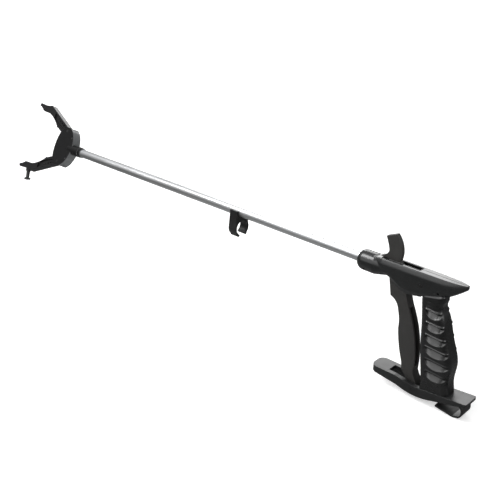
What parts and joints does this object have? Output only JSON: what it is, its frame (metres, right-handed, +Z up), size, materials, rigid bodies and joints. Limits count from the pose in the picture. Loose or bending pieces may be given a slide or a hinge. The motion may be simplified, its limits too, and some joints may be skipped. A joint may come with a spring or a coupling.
{
  "type": "reacher grabber",
  "caption": "Hand-held reaching aid: pistol-grip handle with a trigger, a slim aluminium tube, and a turning head with two jaws that close when the trigger is squeezed.",
  "frame": {"origin": "centre of the walking-frame clip's bore", "axes": "+X along the reacher's tube towards the handle, +Z up, from the walking frame's tube to the reacher's tube; the jaws point to -X"},
  "size_m": [0.8465, 0.0738, 0.1956],
  "materials": {
    "black_plastic": "semi-gloss moulded",
    "trigger_plastic": "matte moulded",
    "head_plastic": "satin moulded",
    "satin_aluminium": "satin drawn tube",
    "inner_plastic": "natural acetal",
    "steel": "zinc plated",
    "magnet": "nickel plated"
  },
  "bodies": {
    "handle": {"tube": "satin_aluminium", "hull_left": "black_plastic", "hull_right": "black_plastic", "grip": "black_plastic", "base_plate": "black_plastic", "belt_clip": "black_plastic", "retaining_ring": "steel", "return_spring": "steel", "trigger_pin": "steel", "hull_pin": "steel", "hull_screw_front": "steel", "hull_screw_rear": "steel", "tube_screw": "steel", "grip_screw_front": "steel", "grip_screw_rear": "steel", "belt_clip_screw": "steel"},
    "trigger": {"trigger": "trigger_plastic"},
    "pull_rod": {"pull_rod": "steel", "swivel_button": "steel", "rod_guide_front": "inner_plastic", "rod_guide_rear": "inner_plastic", "rod_eye": "steel", "rod_cross_pin": "steel"},
    "head": {"head_shell_left": "head_plastic", "head_shell_right": "head_plastic", "head_collar": "head_plastic", "jaw_pin_upper": "steel", "jaw_pin_lower": "steel", "head_screw_upper": "steel", "head_screw_lower": "steel"},
    "crosshead": {"crosshead": "inner_plastic", "crosshead_pin_upper": "steel", "crosshead_pin_lower": "steel"},
    "upper_jaw": {"upper_jaw": "head_plastic"},
    "lower_jaw": {"lower_jaw": "head_plastic", "dressing_peg": "head_plastic", "magnet": "magnet"},
    "frame_clip": {"frame_clip": "head_plastic"}
  },
  "joints": [
    {"name": "trigger_squeeze", "type": "hinge", "parent": "handle", "child": "trigger", "pos_m": [0.2813, 0, -0.10937], "axis": [0, 1, 0], "range_deg": [0, 8.48], "stiffness_Nm_per_rad": 4, "springref_deg": -6.88, "deforming": ["return_spring"]},
    {"name": "rod_pull", "type": "slide", "parent": "handle", "child": "pull_rod", "axis": [1, 0, 0], "range_m": [0, 0.0204]},
    {"name": "head_turn", "type": "hinge", "parent": "handle", "child": "head", "pos_m": [-0.3967, 0, 0.02164], "axis": [1, 0, 0], "range_deg": [-60, 120]},
    {"name": "crosshead_slide", "type": "slide", "parent": "head", "child": "crosshead", "axis": [1, 0, 0], "range_m": [0, 0.0204]},
    {"name": "upper_jaw_close", "type": "hinge", "parent": "head", "child": "upper_jaw", "pos_m": [-0.3967, 0.01275, 0.04372], "axis": [0, -0.866, 0.5], "range_deg": [0, 28.55]},
    {"name": "lower_jaw_close", "type": "hinge", "parent": "head", "child": "lower_jaw", "pos_m": [-0.3967, -0.01275, -0.00045], "axis": [0, 0.866, -0.5], "range_deg": [0, 28.55]},
    {"name": "clip_slide", "type": "slide", "parent": "handle", "child": "frame_clip", "axis": [1, 0, 0], "range_m": [-0.33, 0.175]}
  ],
  "couplings": [
    {"joint": "rod_pull", "follows": "trigger_squeeze", "m_per_rad": 0.13726},
    {"joint": "crosshead_slide", "follows": "trigger_squeeze", "m_per_rad": 0.13726},
    {"joint": "upper_jaw_close", "follows": "trigger_squeeze", "ratio": 3.3605},
    {"joint": "lower_jaw_close", "follows": "trigger_squeeze", "ratio": 3.3605}
  ]
}
